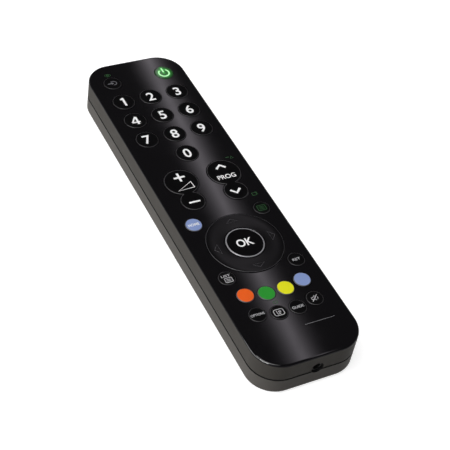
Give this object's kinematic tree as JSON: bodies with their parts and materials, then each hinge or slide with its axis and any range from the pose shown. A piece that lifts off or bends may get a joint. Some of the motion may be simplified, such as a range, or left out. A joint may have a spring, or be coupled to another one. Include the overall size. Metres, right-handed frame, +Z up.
{
  "type": "universal remote control",
  "caption": "Handheld infrared remote control with a glossy face, round push keys, two rocker keys, a navigation ring, a jack socket and a hinged battery cover.",
  "frame": {"origin": "middle of the flat back, on the surface it rests on", "axes": "+Y along the length towards the infrared end, +Z up out of the face, +X to the right of the person who holds it"},
  "size_m": [0.048, 0.1914, 0.0177],
  "materials": {
    "face_gloss": "gloss",
    "case_satin": "satin",
    "key_black": "semi gloss",
    "key_red": "semi gloss",
    "key_green": "semi gloss",
    "key_yellow": "semi gloss",
    "key_blue": "semi gloss",
    "nav_satin": "satin",
    "silicone": "matt",
    "board": "satin",
    "chip": "matt",
    "ceramic": "satin",
    "can": "satin",
    "lamp_green": "clear",
    "lamp_ir": "tinted",
    "window": "gloss",
    "socket": "satin",
    "cell": "gloss",
    "spring": "bright",
    "screw": "satin"
  },
  "bodies": {
    "case": {"upper_case": "case_satin", "lower_case": "case_satin", "face_plate": "face_gloss", "keypad_sheet": "silicone", "circuit_board": "board", "controller_chip": "chip", "memory_chip": "chip", "resonator": "ceramic", "capacitor": "can", "driver_transistor": "chip", "power_led": "lamp_green", "ir_leds": "lamp_ir", "ir_window": "window", "jack_socket": "socket", "battery_cell_1": "cell", "battery_cell_2": "cell", "battery_springs": "spring", "battery_contacts": "spring", "case_screws": "screw"},
    "key_power_body": {"key_power": "key_black"},
    "key_input_body": {"key_input": "key_black"},
    "key_0_body": {"key_0": "key_black"},
    "key_1_body": {"key_1": "key_black"},
    "key_2_body": {"key_2": "key_black"},
    "key_3_body": {"key_3": "key_black"},
    "key_4_body": {"key_4": "key_black"},
    "key_5_body": {"key_5": "key_black"},
    "key_6_body": {"key_6": "key_black"},
    "key_7_body": {"key_7": "key_black"},
    "key_8_body": {"key_8": "key_black"},
    "key_9_body": {"key_9": "key_black"},
    "key_home_body": {"key_home": "key_blue"},
    "key_text_body": {"key_text": "key_black"},
    "key_list_body": {"key_list": "key_black"},
    "key_return_body": {"key_return": "key_black"},
    "key_red_body": {"key_red": "key_red"},
    "key_green_body": {"key_green": "key_green"},
    "key_yellow_body": {"key_yellow": "key_yellow"},
    "key_blue_body": {"key_blue": "key_blue"},
    "key_options_body": {"key_options": "key_black"},
    "key_subtitle_body": {"key_subtitle": "key_black"},
    "key_guide_body": {"key_guide": "key_black"},
    "key_mute_body": {"key_mute": "key_black"},
    "key_ok_body": {"key_ok": "nav_satin"},
    "key_volume_body": {"key_volume": "key_black"},
    "key_programme_body": {"key_programme": "key_black"},
    "nav_pad_body": {"nav_pad": "silicone"},
    "key_nav_ring_body": {"key_nav_ring": "nav_satin"},
    "battery_cover_body": {"battery_cover": "case_satin"}
  },
  "joints": [
    {"name": "key_power_press", "type": "slide", "parent": "case", "child": "key_power_body", "axis": [0, 0, -1], "range_m": [0, 0.0007], "stiffness_N_per_m": 1500, "springref_m": -0.0003},
    {"name": "key_input_press", "type": "slide", "parent": "case", "child": "key_input_body", "axis": [0, 0, -1], "range_m": [0, 0.0007], "stiffness_N_per_m": 1500, "springref_m": -0.0003},
    {"name": "key_0_press", "type": "slide", "parent": "case", "child": "key_0_body", "axis": [0, 0, -1], "range_m": [0, 0.0007], "stiffness_N_per_m": 1500, "springref_m": -0.0003},
    {"name": "key_1_press", "type": "slide", "parent": "case", "child": "key_1_body", "axis": [0, 0, -1], "range_m": [0, 0.0007], "stiffness_N_per_m": 1500, "springref_m": -0.0003},
    {"name": "key_2_press", "type": "slide", "parent": "case", "child": "key_2_body", "axis": [0, 0, -1], "range_m": [0, 0.0007], "stiffness_N_per_m": 1500, "springref_m": -0.0003},
    {"name": "key_3_press", "type": "slide", "parent": "case", "child": "key_3_body", "axis": [0, 0, -1], "range_m": [0, 0.0007], "stiffness_N_per_m": 1500, "springref_m": -0.0003},
    {"name": "key_4_press", "type": "slide", "parent": "case", "child": "key_4_body", "axis": [0, 0, -1], "range_m": [0, 0.0007], "stiffness_N_per_m": 1500, "springref_m": -0.0003},
    {"name": "key_5_press", "type": "slide", "parent": "case", "child": "key_5_body", "axis": [0, 0, -1], "range_m": [0, 0.0007], "stiffness_N_per_m": 1500, "springref_m": -0.0003},
    {"name": "key_6_press", "type": "slide", "parent": "case", "child": "key_6_body", "axis": [0, 0, -1], "range_m": [0, 0.0007], "stiffness_N_per_m": 1500, "springref_m": -0.0003},
    {"name": "key_7_press", "type": "slide", "parent": "case", "child": "key_7_body", "axis": [0, 0, -1], "range_m": [0, 0.0007], "stiffness_N_per_m": 1500, "springref_m": -0.0003},
    {"name": "key_8_press", "type": "slide", "parent": "case", "child": "key_8_body", "axis": [0, 0, -1], "range_m": [0, 0.0007], "stiffness_N_per_m": 1500, "springref_m": -0.0003},
    {"name": "key_9_press", "type": "slide", "parent": "case", "child": "key_9_body", "axis": [0, 0, -1], "range_m": [0, 0.0007], "stiffness_N_per_m": 1500, "springref_m": -0.0003},
    {"name": "key_home_press", "type": "slide", "parent": "case", "child": "key_home_body", "axis": [0, 0, -1], "range_m": [0, 0.0007], "stiffness_N_per_m": 1500, "springref_m": -0.0003},
    {"name": "key_text_press", "type": "slide", "parent": "case", "child": "key_text_body", "axis": [0, 0, -1], "range_m": [0, 0.0007], "stiffness_N_per_m": 1500, "springref_m": -0.0003},
    {"name": "key_list_press", "type": "slide", "parent": "case", "child": "key_list_body", "axis": [0, 0, -1], "range_m": [0, 0.0007], "stiffness_N_per_m": 1500, "springref_m": -0.0003},
    {"name": "key_return_press", "type": "slide", "parent": "case", "child": "key_return_body", "axis": [0, 0, -1], "range_m": [0, 0.0007], "stiffness_N_per_m": 1500, "springref_m": -0.0003},
    {"name": "key_red_press", "type": "slide", "parent": "case", "child": "key_red_body", "axis": [0, 0, -1], "range_m": [0, 0.0007], "stiffness_N_per_m": 1500, "springref_m": -0.0003},
    {"name": "key_green_press", "type": "slide", "parent": "case", "child": "key_green_body", "axis": [0, 0, -1], "range_m": [0, 0.0007], "stiffness_N_per_m": 1500, "springref_m": -0.0003},
    {"name": "key_yellow_press", "type": "slide", "parent": "case", "child": "key_yellow_body", "axis": [0, 0, -1], "range_m": [0, 0.0007], "stiffness_N_per_m": 1500, "springref_m": -0.0003},
    {"name": "key_blue_press", "type": "slide", "parent": "case", "child": "key_blue_body", "axis": [0, 0, -1], "range_m": [0, 0.0007], "stiffness_N_per_m": 1500, "springref_m": -0.0003},
    {"name": "key_options_press", "type": "slide", "parent": "case", "child": "key_options_body", "axis": [0, 0, -1], "range_m": [0, 0.0007], "stiffness_N_per_m": 1500, "springref_m": -0.0003},
    {"name": "key_subtitle_press", "type": "slide", "parent": "case", "child": "key_subtitle_body", "axis": [0, 0, -1], "range_m": [0, 0.0007], "stiffness_N_per_m": 1500, "springref_m": -0.0003},
    {"name": "key_guide_press", "type": "slide", "parent": "case", "child": "key_guide_body", "axis": [0, 0, -1], "range_m": [0, 0.0007], "stiffness_N_per_m": 1500, "springref_m": -0.0003},
    {"name": "key_mute_press", "type": "slide", "parent": "case", "child": "key_mute_body", "axis": [0, 0, -1], "range_m": [0, 0.0007], "stiffness_N_per_m": 1500, "springref_m": -0.0003},
    {"name": "key_ok_press", "type": "slide", "parent": "case", "child": "key_ok_body", "axis": [0, 0, -1], "range_m": [0, 0.0005], "stiffness_N_per_m": 2000, "springref_m": -0.0003},
    {"name": "key_volume_rock", "type": "hinge", "parent": "case", "child": "key_volume_body", "pos_m": [-0.01045, 0.00307, 0.01475], "axis": [1, 0, 0], "range_deg": [-2.5, 2.5], "stiffness_Nm_per_rad": 0.4},
    {"name": "key_programme_rock", "type": "hinge", "parent": "case", "child": "key_programme_body", "pos_m": [0.01045, 0.00307, 0.01475], "axis": [1, 0, 0], "range_deg": [-2.5, 2.5], "stiffness_Nm_per_rad": 0.4},
    {"name": "nav_up_down_rock", "type": "hinge", "parent": "case", "child": "nav_pad_body", "pos_m": [0, -0.03145, 0.01428], "axis": [1, 0, 0], "range_deg": [-1.2, 1.2], "stiffness_Nm_per_rad": 1.3},
    {"name": "nav_left_right_rock", "type": "hinge", "parent": "nav_pad_body", "child": "key_nav_ring_body", "pos_m": [0, -0.03145, 0.01428], "axis": [0, 1, 0], "range_deg": [-1.2, 1.2], "stiffness_Nm_per_rad": 1.3},
    {"name": "battery_cover_hinge", "type": "hinge", "parent": "case", "child": "battery_cover_body", "pos_m": [0, -0.0201, 0.001], "axis": [1, 0, 0], "range_deg": [0, 80]}
  ]
}
